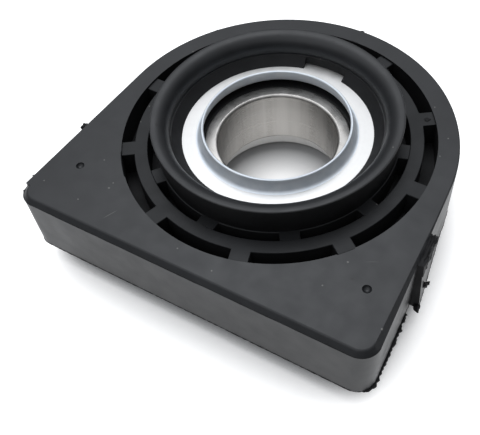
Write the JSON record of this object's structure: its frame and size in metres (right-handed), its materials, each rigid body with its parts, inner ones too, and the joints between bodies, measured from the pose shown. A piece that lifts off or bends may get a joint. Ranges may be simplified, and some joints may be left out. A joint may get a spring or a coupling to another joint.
{
  "type": "driveshaft centre bearing",
  "caption": "D-shaped moulded rubber cushion with a flared hub that carries a sealed ball bearing between pressed dust covers, to hold a driveshaft at its middle.",
  "frame": {"origin": "centre of the bearing, on the shaft axis at the middle of the race width", "axes": "+Z along the shaft axis towards the taller hub rim, +Y from the flat base towards the arch, +X across the base"},
  "size_m": [0.1264, 0.1203, 0.0429],
  "materials": {
    "cushion_rubber": "moulded",
    "sleeve_steel": "turned",
    "zinc_plate": "zinc plated",
    "bearing_steel": "ground",
    "seal_rubber": "moulded",
    "cage_steel": "pressed",
    "ball_steel": "polished"
  },
  "bodies": {
    "housing": {"rubber_cushion": "cushion_rubber", "bearing_sleeve": "sleeve_steel", "front_dust_cover": "zinc_plate", "rear_dust_cover": "zinc_plate", "outer_race": "bearing_steel", "front_seal": "seal_rubber", "rear_seal": "seal_rubber"},
    "inner_race": {"inner_race": "bearing_steel"},
    "cage": {"cage_front_half": "cage_steel", "cage_rear_half": "cage_steel", "cage_rivets": "cage_steel"},
    "ball_1": {"ball_1": "ball_steel"},
    "ball_2": {"ball_2": "ball_steel"},
    "ball_3": {"ball_3": "ball_steel"},
    "ball_4": {"ball_4": "ball_steel"},
    "ball_5": {"ball_5": "ball_steel"},
    "ball_6": {"ball_6": "ball_steel"},
    "ball_7": {"ball_7": "ball_steel"},
    "ball_8": {"ball_8": "ball_steel"},
    "ball_9": {"ball_9": "ball_steel"},
    "ball_10": {"ball_10": "ball_steel"},
    "ball_11": {"ball_11": "ball_steel"},
    "ball_12": {"ball_12": "ball_steel"}
  },
  "joints": [
    {"name": "inner_race_spin", "type": "hinge", "parent": "housing", "child": "inner_race", "pos_m": [0, 0, 0], "axis": [0, 0, 1], "continuous": true},
    {"name": "cage_spin", "type": "hinge", "parent": "housing", "child": "cage", "pos_m": [0, 0, 0], "axis": [0, 0, 1], "continuous": true},
    {"name": "ball_1_roll", "type": "hinge", "parent": "cage", "child": "ball_1", "pos_m": [0.027, 0, 0], "axis": [0, 0, 1], "continuous": true},
    {"name": "ball_2_roll", "type": "hinge", "parent": "cage", "child": "ball_2", "pos_m": [0.02338, 0.0135, 0], "axis": [0, 0, 1], "continuous": true},
    {"name": "ball_3_roll", "type": "hinge", "parent": "cage", "child": "ball_3", "pos_m": [0.0135, 0.02338, 0], "axis": [0, 0, 1], "continuous": true},
    {"name": "ball_4_roll", "type": "hinge", "parent": "cage", "child": "ball_4", "pos_m": [0, 0.027, 0], "axis": [0, 0, 1], "continuous": true},
    {"name": "ball_5_roll", "type": "hinge", "parent": "cage", "child": "ball_5", "pos_m": [-0.0135, 0.02338, 0], "axis": [0, 0, 1], "continuous": true},
    {"name": "ball_6_roll", "type": "hinge", "parent": "cage", "child": "ball_6", "pos_m": [-0.02338, 0.0135, 0], "axis": [0, 0, 1], "continuous": true},
    {"name": "ball_7_roll", "type": "hinge", "parent": "cage", "child": "ball_7", "pos_m": [-0.027, 0, 0], "axis": [0, 0, 1], "continuous": true},
    {"name": "ball_8_roll", "type": "hinge", "parent": "cage", "child": "ball_8", "pos_m": [-0.02338, -0.0135, 0], "axis": [0, 0, 1], "continuous": true},
    {"name": "ball_9_roll", "type": "hinge", "parent": "cage", "child": "ball_9", "pos_m": [-0.0135, -0.02338, 0], "axis": [0, 0, 1], "continuous": true},
    {"name": "ball_10_roll", "type": "hinge", "parent": "cage", "child": "ball_10", "pos_m": [0, -0.027, 0], "axis": [0, 0, 1], "continuous": true},
    {"name": "ball_11_roll", "type": "hinge", "parent": "cage", "child": "ball_11", "pos_m": [0.0135, -0.02338, 0], "axis": [0, 0, 1], "continuous": true},
    {"name": "ball_12_roll", "type": "hinge", "parent": "cage", "child": "ball_12", "pos_m": [0.02338, -0.0135, 0], "axis": [0, 0, 1], "continuous": true}
  ],
  "couplings": [
    {"joint": "cage_spin", "follows": "inner_race_spin", "ratio": 0.42648},
    {"joint": "ball_1_roll", "follows": "inner_race_spin", "ratio": -3.327},
    {"joint": "ball_2_roll", "follows": "inner_race_spin", "ratio": -3.327},
    {"joint": "ball_3_roll", "follows": "inner_race_spin", "ratio": -3.327},
    {"joint": "ball_4_roll", "follows": "inner_race_spin", "ratio": -3.327},
    {"joint": "ball_5_roll", "follows": "inner_race_spin", "ratio": -3.327},
    {"joint": "ball_6_roll", "follows": "inner_race_spin", "ratio": -3.327},
    {"joint": "ball_7_roll", "follows": "inner_race_spin", "ratio": -3.327},
    {"joint": "ball_8_roll", "follows": "inner_race_spin", "ratio": -3.327},
    {"joint": "ball_9_roll", "follows": "inner_race_spin", "ratio": -3.327},
    {"joint": "ball_10_roll", "follows": "inner_race_spin", "ratio": -3.327},
    {"joint": "ball_11_roll", "follows": "inner_race_spin", "ratio": -3.327},
    {"joint": "ball_12_roll", "follows": "inner_race_spin", "ratio": -3.327}
  ]
}
